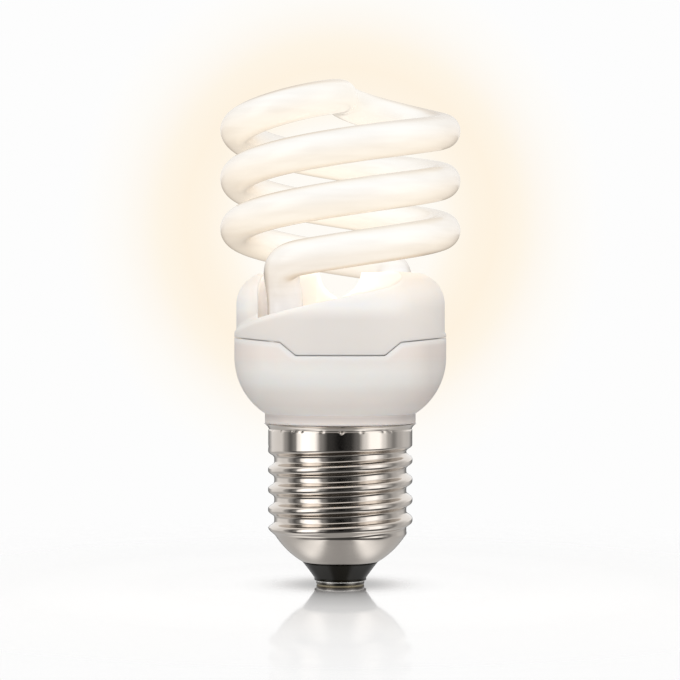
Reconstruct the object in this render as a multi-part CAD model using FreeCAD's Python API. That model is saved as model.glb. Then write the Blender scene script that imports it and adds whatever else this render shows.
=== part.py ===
import FreeCAD, Part
import os
from math import atan2, cos, degrees, pi, radians, sin, sqrt
from FreeCAD import Vector as V

# Compact fluorescent lamp with a double spiral tube and a 27 mm screw cap.
# Origin at the middle of the bottom contact, +Z up along the lamp axis, millimetres.

# Screw cap
thread_crest_d = 26.45
thread_root_d = 24.2
thread_pitch = 3.629
thread_crest_z = 15.53
thread_low_z = 8.7
thread_fade = 1.8
thread_sharpness = 1.3
shell_columns = 32
levels_per_pitch = 12
sheet = 0.35
cap_hole_d = 14.06
cap_floor_z = 4.25
dome_top_z = 9.3
dome_bulge = 0.44
collar_d = 26.4
collar_z = 25.6
collar_blend = 1.2
rim_d = 27.9
rim_z = 29.45
rim_flare = 0.85

# Bottom contact and its insulator
contact_d = 8.8
contact_t = 0.85
contact_edge_r = 0.25
foot_d = 9.5
foot_h = 0.4
cone_hollow = 0.03
insulator_top_z = 7.4
eyelet_d = 2.2
eyelet_bore_d = 1.2
eyelet_top_z = 6.4
solder_d = 3.4
solder_t = 0.4

# Housing
body_d = 38.8
wall = 1.4
bowl_r = 12.3
bowl_top_z = 41.65
neck_d = 27.6
neck_z = 29.55
stub_z = 26.1
stub_wall = 1.2
shoulder_r = 5.8
top_z = 57.0
seam_gap = 0.12
seam_side_z = 45.15
seam_tab_z = 44.3
tab_drop = 2.3
tab_top_half = 10.6
tab_low_half = 7.8
spigot_wall = 1.3

# Swirl top of the cover, angles in degrees round the axis
ramp_start = 204.0
ramp_wall = 219.5
ramp_knee = 300.0
ramp_end = 326.0
ramp_low_z = 47.45
ramp_rise = 6.83
ramp_last_rise = 3.3
ramp_steps = 12
ledge_start = 152.0
ledge_full = 222.0
ledge_in = 0.9
ledge_least = 0.03
ledge_over_seam = 0.5
ledge_lift = 0.05
ledge_past = 1.5
ledge_top_angle = 75.0
ledge_steps = 10
well_d = 11.0

# Tube
tube_d = 6.3
helix_r = 18.85
helix_pitch = 18.2
helix_top_z = 83.1
helix_turn = 470.0
bridge_z = 89.2
bridge_angle = 275.0
leg_inset = 4.96
leg_angle = 227.2
leg_top_z = 50.5
leg_end_z = 43.6
bend_out = 6.5
bend_down = 6.0
bridge_stations = 4
helix_stations = 14
bend_stations = 4
pocket_r = 4.85
socket_wall = 1.0
socket_z = 45.4

# Fits
clear = 0.1
cement_gap = 0.35

# Ballast
board_z = 40.0
board_full_r = 17.774
board_t = 1.2
rib_t = 1.2
rib_depth = 2.4
rib_count = 6
rib_h = 4.0
rib_angle = 15.0
lead_d = 0.6
lead_over = 0.6
pin_w = 0.8
pin_h = 2.2
neutral_angle = 4.4
groove_w = 0.9
groove_depth = 0.6
standoff = 1.5
axial_r = 13.0
fold_dip = 0.9
fold_bend = 0.5
can_d = 8.0
can_length = 14.0
can_round = 0.4
can_groove = 2.0
can_lead_gap = 3.5
can_y = -6.3
core_w = 13.0
core_depth = 6.0
core_h = 11.6
core_leg = 2.2
core_mid = 3.6
choke_gap = 0.6
choke_y = 3.9
bobbin_wall = 0.6
flange_over = 2.0
coil_round = 0.8
ring_d = 9.0
ring_bore_d = 4.8
ring_h = 3.0
ring_x = -9.5
ring_y = -5.5
winding_t = 0.5
winding_angle = 70.0
winding_count = 3
transistor_r = 2.3
transistor_h = 4.6
transistor_flat = 1.3
transistor_pitch = 1.27
transistor_x = 9.6
transistor_y = (3.9, -2.2)
diode_r = 1.3
diode_l = 4.4
diode_angles = (286, 300, 314, 328)
resistor_r = 0.95
resistor_l = 4.4
resistor_angles = (244, 254, 264, 274)
trigger_angle = 128
trigger_r = 0.9
trigger_l = 3.6
film_t = 4.0
film_l = 8.4
film_h = 5.2
film_round = 0.8
film_gap = 0.4
resonant_x = -9.3
resonant_y = 4.5
coupling_y = 12.0
drum_r = 2.6
drum_h = 4.4
drum_flange = 0.6
drum_x = 7.6
drum_y = 9.4
fuse_d = 2.6
fuse_low = 9.5
fuse_l = 6.5
live_d = 0.8
live_bend = 1.5
live_y = -1.7
neutral_dip = 0.8
seal_gap = 2.0
post_r = 8.0
post_spread = 20.0

body_r = body_d / 2
leg_r = body_r - leg_inset
inner_r = body_r - wall
root_r = thread_root_d / 2
crest_r = thread_crest_d / 2
collar_r = collar_d / 2
rim_r = rim_d / 2
cap_hole_r = cap_hole_d / 2
neck_r = neck_d / 2
stub_r = collar_r - sheet - clear
stub_bore_r = stub_r - stub_wall
tube_r = tube_d / 2
hole_r = tube_r + cement_gap
spigot_r = inner_r - clear
board_top = board_z + board_t
lead_r = lead_d / 2

os.makedirs("parts", exist_ok=True)


def smooth(t):
    t = min(1.0, max(0.0, t))
    return t * t * (3 - 2 * t)


def polar(radius, angle, z):
    return V(radius * cos(radians(angle)), radius * sin(radians(angle)), z)


def half_turned(shape):
    turned = shape.copy()
    turned.rotate(V(0, 0, 0), V(0, 0, 1), 180)
    return turned


def line(start, end):
    return Part.makeLine(V(start[0], 0, start[1]), V(end[0], 0, end[1]))


def chain(points):
    return [line(a, b) for a, b in zip(points, points[1:])]


def arc(start, middle, end):
    ends = [V(r, 0, z) for r, z in (start, middle, end)]
    return Part.Arc(*ends).toShape()


def on_circle(centre, radius, angle):
    return (centre[0] + radius * cos(radians(angle)), centre[1] + radius * sin(radians(angle)))


def revolve(edges):
    return Part.Face(Part.Wire(edges)).revolve(V(0, 0, 0), V(0, 0, 1), 360)


def cylinder(radius, z_low, z_high, x=0.0, y=0.0):
    return Part.makeCylinder(radius, z_high - z_low, V(x, y, z_low))


def ring(bore, radius, z_low, z_high):
    return cylinder(radius, z_low, z_high).cut(cylinder(bore, z_low, z_high))


def arc_leaving(start, heading, end):
    chord = end - start
    if heading.getAngle(chord) < 1e-5:
        return Part.makeLine(start, end)
    bisector = (heading + V(chord).normalize()).normalize()
    middle = start + bisector * (chord.Length ** 2 / 2 / bisector.dot(chord))
    return Part.Arc(start, middle, end).toShape()


def two_arcs(start, heading, end, end_heading):
    # a pair of tangent arcs that leave and arrive along the two headings
    chord = end - start
    spread = 2 * (1 - heading.dot(end_heading))
    along = chord.dot(heading + end_heading)
    if spread < 1e-6:
        reach = chord.dot(chord) / (2 * along)
    else:
        reach = (sqrt(along ** 2 + spread * chord.dot(chord)) - along) / spread
    meet = (start + end + (heading - end_heading) * reach) * 0.5
    meet_heading = (meet - start - heading * reach).normalize()
    return [arc_leaving(start, heading, meet), arc_leaving(meet, meet_heading, end)]


def sweep(edges, radius, start, heading):
    profile = Part.Wire(Part.makeCircle(radius, start, heading))
    return Part.Wire(edges).makePipeShell([profile], True, False)


def bent_wire(points, radius, bend):
    # round wire through corner points, each corner turned with a tangent arc
    edges = []
    start = points[0]
    for before, corner, after in zip(points, points[1:], points[2:]):
        into = (corner - before).normalize()
        out = (after - corner).normalize()
        half = into.getAngle(out) / 2
        reach = bend * sin(half) / cos(half)
        edges.append(Part.makeLine(start, corner - into * reach))
        edges.append(arc_leaving(corner - into * reach, into, corner + out * reach))
        start = corner + out * reach
    edges.append(Part.makeLine(start, points[-1]))
    return sweep(edges, radius, points[0], points[1] - points[0])


def export(shape, node):
    shape.exportStep("parts/" + node + ".step")


# Centre line of one arm of the tube
def bridge_point(u):
    # from the crossing on the axis at u = 0 to the top of the helix at u = 1
    angle = bridge_angle - u * (bridge_angle - 180)
    v = 1 - u
    slope = helix_pitch * (bridge_angle - 180) / 360
    rise = bridge_z - helix_top_z
    z = helix_top_z + slope * (v ** 3 - 2 * v ** 2 + v) + rise * (3 * v ** 2 - 2 * v ** 3)
    return polar(helix_r * sin(u * pi / 2), angle, z)


def helix_point(turned):
    return polar(helix_r, 180 - turned, helix_top_z - helix_pitch * turned / 360)


def heading_of(point_at, value, step=1e-4):
    return (point_at(value + step) - point_at(value - step)).normalize()


leg_top = polar(leg_r, leg_angle - 180, leg_top_z)
leg_end = V(leg_top.x, leg_top.y, leg_end_z)
helix_end = helix_point(helix_turn)
bend_pull = helix_end + heading_of(helix_point, helix_turn) * bend_out
leg_pull = leg_top + V(0, 0, bend_down)


def bend_point(t):
    s = 1 - t
    return (helix_end * s ** 3 + bend_pull * (3 * s * s * t)
            + leg_pull * (3 * s * t * t) + leg_top * t ** 3)


def stations(point_at, first, last, count):
    values = [first + (last - first) * k / count for k in range(count)]
    return [(point_at(v), heading_of(point_at, v)) for v in values]


def mirrored(station):
    # the other arm is the first one turned half a turn, and it runs the other way
    point, heading = station
    return (V(-point.x, -point.y, point.z), V(heading.x, heading.y, -heading.z))


arm = stations(bridge_point, 0, 1, bridge_stations)
arm += stations(helix_point, 0, helix_turn, helix_stations)
arm += stations(bend_point, 0, 1, bend_stations)
arm += [(leg_top, V(0, 0, -1)), (leg_end, V(0, 0, -1))]
line_of_tube = [mirrored(s) for s in reversed(arm[1:])] + arm
tube_edges = []
for (start, heading), (end, end_heading) in zip(line_of_tube, line_of_tube[1:]):
    tube_edges += two_arcs(start, heading, end, end_heading)
spiral_tube = sweep(tube_edges, tube_r, *line_of_tube[0])
export(spiral_tube, "spiral_tube")

# Screw shell, a rolled sheet: the same sections give its outside and its inside
chord_r = root_r - cap_hole_r
chord_z = dome_top_z - cap_floor_z
chord_length = sqrt(chord_r ** 2 + chord_z ** 2)
dome_r = (chord_length ** 2 / 4 + dome_bulge ** 2) / (2 * dome_bulge)
dome_back = dome_r - dome_bulge
dome_centre = ((cap_hole_r + root_r) / 2 - dome_back * chord_z / chord_length,
               (cap_floor_z + dome_top_z) / 2 + dome_back * chord_r / chord_length)


def shell_radius(z, angle):
    if z < dome_top_z:
        plain = dome_centre[0] + sqrt(dome_r ** 2 - (z - dome_centre[1]) ** 2)
    else:
        plain = root_r
    phase = 2 * pi * (z - thread_crest_z) / thread_pitch - angle
    ridge = smooth((1 + cos(phase)) / 2) ** thread_sharpness * smooth((z - thread_low_z) / thread_fade)
    threaded = plain + (crest_r - root_r) * ridge
    collar = smooth((z - collar_z + collar_blend) / collar_blend)
    flare = max(0.0, (z - rim_z + rim_flare) / rim_flare) ** 2
    return threaded + (collar_r - threaded) * collar + (rim_r - collar_r) * flare


shell_levels = round((rim_z - cap_floor_z) / thread_pitch * levels_per_pitch)


def shell_face(inward):
    # one closed surface: a curve up the cap for each column, the columns joined round the axis
    levels = [cap_floor_z + (rim_z - cap_floor_z) * k / shell_levels for k in range(shell_levels + 1)]
    widen = 6 / (4 + 2 * cos(2 * pi / shell_columns))
    columns = []
    for k in range(shell_columns):
        angle = 2 * pi * k / shell_columns
        curve = Part.BSplineCurve()
        points = [polar((shell_radius(z, angle) - inward) * widen, degrees(angle), z) for z in levels]
        curve.interpolate(Points=points, Parameters=levels)
        columns.append(curve)
    poles = [list(row) for row in zip(*[c.getPoles() for c in columns])]
    around = list(range(shell_columns + 1))
    surface = Part.BSplineSurface()
    surface.buildFromPolesMultsKnots(poles, columns[0].getMultiplicities(), [1] * len(around),
                                     columns[0].getKnots(), around, False, True, 3, 3)
    return surface.toShape()


def end_wire(face, z):
    edges = [e for e in face.Edges if abs(e.BoundBox.ZMin - z) < 0.01 and abs(e.BoundBox.ZMax - z) < 0.01]
    return Part.Wire(edges)


outside = shell_face(0)
inside = shell_face(sheet)
ends = [Part.Face([end_wire(outside, z), end_wire(inside, z)]) for z in (cap_floor_z, rim_z)]
screw_shell = Part.Solid(Part.Shell([outside, inside] + ends))
screw_shell.fix(1e-4, 1e-4, 1e-4)
export(screw_shell, "screw_shell")

# Black glass insulator, poured into the mouth of the shell
foot_r = foot_d / 2
contact_r = contact_d / 2
eyelet_r = eyelet_d / 2
throat_r = cap_hole_r - sheet - clear
lip = (cap_hole_r - clear, cap_floor_z - clear)
foot_top = (foot_r, contact_t + foot_h)
cone_middle = ((lip[0] + foot_r) / 2 - cone_hollow, (lip[1] + foot_top[1]) / 2 + cone_hollow)
plug_centre = (dome_centre[0] - sheet - clear, dome_centre[1])


def plug_radius(z):
    return plug_centre[0] + sqrt(dome_r ** 2 - (z - plug_centre[1]) ** 2)


plug_middle_z = (cap_floor_z + insulator_top_z) / 2
plug_top = (plug_radius(insulator_top_z), insulator_top_z)
hole_low = (eyelet_r + clear, contact_t)
hole_high = (eyelet_r + clear, insulator_top_z)
edges = chain([hole_low, (foot_r, contact_t), foot_top])
edges.append(arc(foot_top, cone_middle, lip))
edges += chain([lip, (throat_r, lip[1]), (throat_r, cap_floor_z)])
edges.append(arc((throat_r, cap_floor_z), (plug_radius(plug_middle_z), plug_middle_z), plug_top))
edges += chain([plug_top, hole_high, hole_low])
contact_insulator = revolve(edges)
export(contact_insulator, "contact_insulator")

# Bottom contact with its eyelet, and the solder that closes it
bore_r = eyelet_bore_d / 2
solder_r = solder_d / 2
edge_centre = (contact_r - contact_edge_r, contact_edge_r)
edges = chain([(solder_r, 0), (edge_centre[0], 0)])
edge_middle = on_circle(edge_centre, contact_edge_r, -45)
edges.append(arc((edge_centre[0], 0), edge_middle, (contact_r, contact_edge_r)))
edges += chain([(contact_r, contact_edge_r), (contact_r, contact_t), (eyelet_r, contact_t),
                (eyelet_r, eyelet_top_z), (bore_r, eyelet_top_z), (bore_r, solder_t),
                (solder_r, solder_t), (solder_r, 0)])
centre_contact = revolve(edges)
export(centre_contact, "centre_contact")
contact_solder = cylinder(solder_r - clear, clear, solder_t)
export(contact_solder, "contact_solder")

# Seam between the housing and the cover, seen from the front and cut straight through
far = 2 * body_r


def above_seam(lift):
    low = seam_tab_z - tab_drop
    right = [(tab_low_half, low), (tab_top_half, seam_tab_z), (body_r, seam_side_z), (far, seam_side_z)]
    left = [(-x, z) for x, z in reversed(right)]
    outline = left + right + [(far, far + top_z), (-far, far + top_z)]
    corners = [V(x, -far, z + lift) for x, z in outline]
    return Part.Face(Part.makePolygon(corners + corners[:1])).extrude(V(0, 2 * far, 0))


# Lower housing: bowl, neck ring and the stub that the shell is pressed onto
bowl_centre = (body_r - bowl_r, bowl_top_z)


def bowl_height(radius, inward):
    return bowl_top_z - sqrt((bowl_r - inward) ** 2 - (radius - bowl_centre[0]) ** 2)


def bowl(inward, mouth_r, low_points):
    # solid under the bowl curve, moved inward by the wall for the hollow
    foot = (mouth_r, bowl_height(mouth_r, inward))
    start = degrees(atan2(foot[1] - bowl_centre[1], foot[0] - bowl_centre[0]))
    rim = (body_r - inward, bowl_top_z)
    edges = chain(low_points + [foot])
    edges.append(arc(foot, on_circle(bowl_centre, bowl_r - inward, start / 2), rim))
    edges += chain([rim, (rim[0], top_z), (0, top_z), low_points[0]])
    return revolve(edges)


housing_outside = bowl(0, neck_r, [(0, stub_z), (stub_r, stub_z), (stub_r, neck_z), (neck_r, neck_z)])
housing_inside = bowl(wall, stub_bore_r, [(0, stub_z), (stub_bore_r, stub_z)])
board_r = bowl_centre[0] + sqrt((bowl_r - wall) ** 2 - (bowl_top_z - board_z) ** 2) - clear
lower_housing = housing_outside.cut(housing_inside)
ribs = []
for k in range(rib_count):
    rib = Part.makeBox(inner_r - board_r + rib_depth + wall / 2, rib_t, rib_h,
                       V(board_r - rib_depth, -rib_t / 2, board_z - rib_h))
    rib.rotate(V(0, 0, 0), V(0, 0, 1), rib_angle + 360 * k / rib_count)
    ribs.append(rib.common(housing_outside))
lower_housing = lower_housing.multiFuse(ribs)
groove = Part.makeBox(stub_wall, groove_w, neck_z - stub_z, V(stub_r - groove_depth, -groove_w / 2, stub_z))
groove.rotate(V(0, 0, 0), V(0, 0, 1), neutral_angle)
lower_housing = lower_housing.cut(groove).cut(above_seam(0)).removeSplitter()
export(lower_housing, "lower_housing")


# Upper cover: a domed cap with two ramps wound into its top, one for each leg
def ramp_height(angle):
    climb = ramp_rise * (angle - ramp_start) / (ramp_knee - ramp_start)
    return ramp_low_z + climb + ramp_last_rise * smooth((angle - ramp_knee) / (ramp_end - ramp_knee))


def radial_frame(angle, inner, outer, low, high):
    sides = [(inner, low), (outer, low), (outer, high), (inner, high)]
    corners = [polar(radius, angle, z) for radius, z in sides]
    return Part.makePolygon(corners + corners[:1])


def ramp_cut(inward):
    # what lies over one ramp, grown by the wall for the hollow below it
    angles = [ramp_start + (ramp_end - ramp_start) * k / ramp_steps for k in range(ramp_steps + 1)]
    frames = [radial_frame(a, well_d / 4, far, ramp_height(a) - inward, top_z + far) for a in angles]
    over = Part.makeLoft(frames, True, False)
    leg = polar(leg_r, leg_angle, 0)
    pocket = cylinder(pocket_r + inward, 0, far + top_z, leg.x, leg.y)
    step = Part.makeBox(far, far, far + top_z, V(0, -far, 0))
    step.rotate(V(0, 0, 0), V(0, 0, 1), ramp_wall)
    step.translate(polar(inward, ramp_wall - 90, 0))
    return over.cut(step.cut(pocket))


shoulder_centre = (body_r - shoulder_r, top_z - shoulder_r)


def ledge_frame(angle, inward):
    # what lies outside the horn's drawn-in skin, over the ramp's line carried on round the side
    grown = smooth((angle - ledge_start) / (ledge_full - ledge_start))
    inset = ledge_least + (ledge_in - ledge_least) * grown
    low = ledge_lift + max(ramp_height(angle), seam_side_z + seam_gap + ledge_over_seam) - inward
    side = (body_r - inward - inset, shoulder_centre[1])
    middle = on_circle(shoulder_centre, shoulder_r - inward - inset * 2 / 3, ledge_top_angle / 2)
    end = on_circle(shoulder_centre, shoulder_r - inward + ledge_least, ledge_top_angle)
    edges = [arc(side, middle, end)] + chain([end, (far, end[1]), (far, low), (side[0], low), side])
    frame = Part.Wire(edges)
    frame.rotate(V(0, 0, 0), V(0, 0, 1), angle)
    return frame


def ledge_cut(inward):
    span = ramp_wall + ledge_past - ledge_start
    angles = [ledge_start + span * k / ledge_steps for k in range(ledge_steps + 1)]
    return Part.makeLoft([ledge_frame(a, inward) for a in angles], True, False)


def swirl(inward):
    radius = shoulder_r - inward
    side = (body_r - inward, shoulder_centre[1])
    crown = (shoulder_centre[0], top_z - inward)
    edges = chain([(0, stub_z), (side[0], stub_z), side])
    edges.append(arc(side, on_circle(shoulder_centre, radius, 45), crown))
    edges += chain([crown, (0, crown[1]), (0, stub_z)])
    well = cylinder(well_d / 2 + inward, ramp_low_z - inward, far + top_z)
    shape = revolve(edges).cut(well)
    for cutter in (ramp_cut(inward), ledge_cut(inward)):
        shape = shape.cut(cutter).cut(half_turned(cutter))
    return shape


cover_outside = swirl(0)
upper_cover = cover_outside.cut(swirl(wall)).common(above_seam(seam_gap))
spigot_low = board_top + clear
spigot_high = seam_side_z + seam_gap + wall
spigot_bore_r = spigot_r - spigot_wall
spigot = ring(spigot_bore_r, spigot_r, spigot_low, spigot_high)
collar_ring = ring(spigot_bore_r, inner_r + wall / 2, spigot_low, spigot_high).common(above_seam(seam_gap))
legs = [polar(leg_r, leg_angle, 0), polar(leg_r, leg_angle - 180, 0)]
sockets = [cylinder(hole_r + socket_wall, socket_z, top_z, p.x, p.y).common(cover_outside) for p in legs]
upper_cover = upper_cover.multiFuse([spigot, collar_ring] + sockets)
for p in legs:
    upper_cover = upper_cover.cut(cylinder(hole_r, spigot_low, top_z, p.x, p.y))
upper_cover = upper_cover.removeSplitter()
export(upper_cover, "upper_cover")

# Cement that fixes the legs in their sockets
cement = []
for p in legs:
    sleeve = cylinder(hole_r - clear / 2, socket_z, ramp_low_z - clear, p.x, p.y)
    cement.append(sleeve.cut(cylinder(tube_r + clear / 2, socket_z, ramp_low_z, p.x, p.y)))
export(Part.makeCompound(cement), "tube_cement")

# Ballast: its sizes are those for a board of the full radius, and follow the board's own
ballast_fit = board_r / board_full_r
# Every lead that passes the board leaves its place here
lead_places = []


def export_fitted(shape, node):
    shape.scale(ballast_fit, V(0, 0, board_z))
    export(shape, node)


def lead(x, y, z_low):
    lead_places.append((x, y))
    return cylinder(lead_r, z_low, board_top + lead_over, x, y)


def upright(angle, radius, length):
    # round part on end under the board, its lower lead folded back up on the inner side
    top = board_z - standoff
    low = top - length
    place = polar(axial_r, angle, 0)
    fold = polar(axial_r - radius - 2 * lead_d, angle, 0)
    base = V(0, 0, low)
    dip = V(0, 0, low - fold_dip)
    tip = V(0, 0, board_top + lead_over)
    lead_places.append((fold.x, fold.y))
    wire = bent_wire([place + base, place + dip, fold + dip, fold + tip], lead_r, fold_bend)
    body = cylinder(radius, low, top, place.x, place.y)
    return body.multiFuse([lead(place.x, place.y, top), wire])


def film_capacitor(x, y, dx, dy, height, spacing_x, spacing_y):
    top = board_z - film_gap
    body = Part.makeBox(dx, dy, height, V(x - dx / 2, y - dy / 2, top - height))
    body = body.makeFillet(film_round, body.Edges)
    legs_of_it = [lead(x + s * spacing_x / 2, y + s * spacing_y / 2, top - film_round) for s in (-1, 1)]
    return body.multiFuse(legs_of_it)


# Smoothing capacitor, its can reaching down into the screw cap
can_top = board_z - standoff
can_low = can_top - can_length
can_r = can_d / 2
groove_z = can_top - can_groove
can = revolve(chain([(0, can_low), (can_r - can_round, can_low), (can_r, can_low + can_round),
                     (can_r, groove_z - can_round), (can_r - can_round, groove_z),
                     (can_r, groove_z + can_round), (can_r, can_top), (0, can_top), (0, can_low)]))
can.translate(V(0, can_y, 0))
can_leads = [lead(s * can_lead_gap / 2, can_y, can_top) for s in (-1, 1)]
export_fitted(can.multiFuse(can_leads), "electrolytic_capacitor")

# Choke: two ferrite halves through a wound bobbin
choke_top = board_z - choke_gap
choke_low = choke_top - core_h
window_w = core_w - 2 * core_leg
window_h = core_h - 2 * core_leg
tube_w = core_mid + 2 * clear
flange_w = window_w - 2 * clear
flange_l = core_depth + 2 * flange_over
middle_z = (choke_top + choke_low) / 2


def choke_block(dx, dy, z_low, z_high):
    return Part.makeBox(dx, dy, z_high - z_low, V(-dx / 2, choke_y - dy / 2, z_low))


core = choke_block(core_w, core_depth, choke_low, choke_top)
core = core.cut(choke_block(window_w, core_depth, choke_low + core_leg, choke_top - core_leg))
core = core.fuse(choke_block(core_mid, core_depth, choke_low + core_leg, choke_top - core_leg))
core_halves = [core.common(choke_block(far, far, choke_low, middle_z - clear / 2)),
               core.common(choke_block(far, far, middle_z + clear / 2, choke_top))]
export_fitted(Part.makeCompound(core_halves), "choke_core")

bobbin_low = choke_low + core_leg + clear
bobbin_high = choke_top - core_leg - clear
bobbin_l = core_depth + 2 * (clear + bobbin_wall)
bobbin = choke_block(tube_w + 2 * bobbin_wall, bobbin_l, bobbin_low, bobbin_high)
bobbin = bobbin.fuse(choke_block(flange_w, flange_l, bobbin_low, bobbin_low + bobbin_wall))
bobbin = bobbin.fuse(choke_block(flange_w, flange_l, bobbin_high - bobbin_wall, bobbin_high))
bobbin = bobbin.cut(choke_block(tube_w, core_depth + 2 * clear, bobbin_low, bobbin_high))
pin_x = flange_w / 2 - lead_d
pin_y = flange_l / 2 - lead_d
bobbin_pins = [lead(i * pin_x, choke_y + j * pin_y, bobbin_high) for i in (-1, 1) for j in (-1, 1)]
export_fitted(bobbin.multiFuse(bobbin_pins), "choke_bobbin")

coil_low = bobbin_low + bobbin_wall + clear
coil_high = bobbin_high - bobbin_wall - clear
coil = choke_block(flange_w - 2 * clear, flange_l - 2 * lead_d, coil_low, coil_high)
coil = coil.makeFillet(coil_round, [e for e in coil.Edges if e.BoundBox.ZLength > window_h / 2])
coil_hole_w = tube_w + 2 * (bobbin_wall + clear)
coil_hole_l = core_depth + 2 * (bobbin_wall + 2 * clear)
export_fitted(coil.cut(choke_block(coil_hole_w, coil_hole_l, coil_low, coil_high)), "choke_winding")

# Feedback ring with its three windings, lying against the board
ring_top = board_z - winding_t - clear
ring_low = ring_top - ring_h


def ring_section(grow):
    inner = ring_bore_d / 2 - grow
    outer = ring_d / 2 + grow
    low = ring_low - grow
    high = ring_top + grow
    return Part.Wire(chain([(inner, low), (outer, low), (outer, high), (inner, high), (inner, low)]))


def onto_ring_place(shape):
    shape.translate(V(ring_x, ring_y, 0))
    return shape


ring_core = Part.Face(ring_section(0)).revolve(V(0, 0, 0), V(0, 0, 1), 360)
export_fitted(onto_ring_place(ring_core), "ring_core")
windings = []
for k in range(winding_count):
    coil_face = Part.Face([ring_section(clear + winding_t), ring_section(clear)])
    winding = coil_face.revolve(V(0, 0, 0), V(0, 0, 1), winding_angle)
    winding.rotate(V(0, 0, 0), V(0, 0, 1), 360 * k / winding_count)
    windings.append(onto_ring_place(winding))
export_fitted(Part.makeCompound(windings), "ring_windings")

# Switching pair
transistors = []
for y in transistor_y:
    top = board_z - standoff
    body = cylinder(transistor_r, top - transistor_h, top, transistor_x, y)
    flat = Part.makeBox(transistor_r, 2 * transistor_r, transistor_h,
                        V(transistor_x + transistor_flat, y - transistor_r, top - transistor_h))
    pins = [lead(transistor_x, y + k * transistor_pitch, top) for k in (-1, 0, 1)]
    transistors.append(body.cut(flat).multiFuse(pins))
export_fitted(Part.makeCompound(transistors), "transistors")

# Parts on end round the edge of the board
export_fitted(Part.makeCompound([upright(a, diode_r, diode_l) for a in diode_angles]), "rectifier_diodes")
export_fitted(Part.makeCompound([upright(a, resistor_r, resistor_l) for a in resistor_angles]), "resistors")
export_fitted(upright(trigger_angle, trigger_r, trigger_l), "trigger_diode")

# Film capacitors and the filter choke
resonant = film_capacitor(resonant_x, resonant_y, film_t, film_l, film_h, 0, film_l / 2)
export_fitted(resonant, "resonant_capacitor")
coupling = film_capacitor(0, coupling_y, film_l, film_t, film_h, film_l / 2, 0)
export_fitted(coupling, "coupling_capacitor")
drum_top = board_z - standoff
drum_low = drum_top - drum_h
drum_waist = drum_r - drum_flange
drum = revolve(chain([(0, drum_low), (drum_r, drum_low), (drum_r, drum_low + drum_flange),
                      (drum_waist, drum_low + 2 * drum_flange), (drum_waist, drum_top - 2 * drum_flange),
                      (drum_r, drum_top - drum_flange), (drum_r, drum_top), (0, drum_top), (0, drum_low)]))
drum.translate(V(drum_x, drum_y, 0))
drum_leads = [lead(drum_x + s * drum_waist, drum_y, drum_top) for s in (-1, 1)]
export_fitted(drum.multiFuse(drum_leads), "filter_choke")

# Live lead with its fuse resistor, from the eyelet up to the board
live_r = live_d / 2
live_side = live_y * ballast_fit
fuse_high = fuse_low + fuse_l
export(cylinder(fuse_d / 2, fuse_low, fuse_high), "fuse_resistor")
live_low = cylinder(live_r, solder_t, fuse_low)
live_turn = fuse_high + 2 * live_bend
live_high = bent_wire([V(0, 0, fuse_high), V(0, 0, live_turn), V(0, live_side, live_turn + 2 * live_bend),
                       V(0, live_side, board_top + lead_over)], live_r, live_bend)
export(Part.makeCompound([live_low, live_high]), "live_wire")

# Neutral lead, folded up between the stub and the shell
neutral_in = stub_bore_r - lead_r - clear
neutral_out = stub_r - groove_depth + lead_r + clear / 2
neutral_low = stub_z - neutral_dip
neutral = bent_wire([polar(neutral_in, neutral_angle, board_top + lead_over),
                     polar(neutral_in, neutral_angle, neutral_low),
                     polar(neutral_out, neutral_angle, neutral_low),
                     polar(neutral_out, neutral_angle, neck_z - sheet)],
                    lead_r - clear / 2, (neutral_out - neutral_in) / 2 - clear)
export(neutral, "neutral_wire")

# Posts on the board and the tube's leads brought to them
pins = []
tube_leads = []
for k in (0, 180):
    leg = polar(leg_r, leg_angle + k, leg_end_z)
    for side in (-1, 1):
        post = polar(post_r, leg_angle + k + side * post_spread, board_top)
        pins.append(Part.makeBox(pin_w, pin_w, pin_h, post - V(pin_w / 2, pin_w / 2, 0)))
        start = leg + polar(seal_gap / 2, leg_angle + k + side * 90, 0)
        turn = V(start.x, start.y, board_top + pin_h / 2)
        reach = V(post.x, post.y, turn.z) - turn
        end = turn + reach * ((reach.Length - pin_w) / reach.Length)
        tube_leads.append(bent_wire([start, turn, end], lead_r - clear / 2, lead_d))
export(Part.makeCompound(pins), "wrap_pins")
export(Part.makeCompound(tube_leads), "tube_leads")

# Round board, drilled for every lead
fitted_places = [(x * ballast_fit, y * ballast_fit) for x, y in lead_places]
holes = [cylinder(lead_r + clear, board_z, board_top, x, y) for x, y in fitted_places]
holes.append(cylinder(live_r + clear, board_z, board_top, 0, live_side))
neutral_place = polar(neutral_in, neutral_angle, 0)
holes.append(cylinder(lead_r + clear, board_z, board_top, neutral_place.x, neutral_place.y))
circuit_board = cylinder(board_r, board_z, board_top).cut(Part.makeCompound(holes))
export(circuit_board, "circuit_board")
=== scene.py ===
from math import cos, exp, pi, radians, sin, sqrt

import bpy
import numpy as np
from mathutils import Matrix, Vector


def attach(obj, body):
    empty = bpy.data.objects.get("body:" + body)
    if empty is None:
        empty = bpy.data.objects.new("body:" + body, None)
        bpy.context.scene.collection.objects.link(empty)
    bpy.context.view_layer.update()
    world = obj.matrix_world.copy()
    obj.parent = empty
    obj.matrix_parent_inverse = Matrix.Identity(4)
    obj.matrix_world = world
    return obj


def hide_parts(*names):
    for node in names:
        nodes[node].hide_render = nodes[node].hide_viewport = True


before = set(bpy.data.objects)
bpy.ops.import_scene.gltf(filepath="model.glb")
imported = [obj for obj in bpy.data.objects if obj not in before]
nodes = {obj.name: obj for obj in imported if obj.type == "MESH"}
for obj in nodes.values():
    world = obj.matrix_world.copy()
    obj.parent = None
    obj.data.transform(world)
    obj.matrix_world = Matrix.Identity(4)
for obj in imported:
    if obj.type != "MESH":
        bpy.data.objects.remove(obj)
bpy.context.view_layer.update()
scene = bpy.context.scene
MM = 0.001
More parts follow.
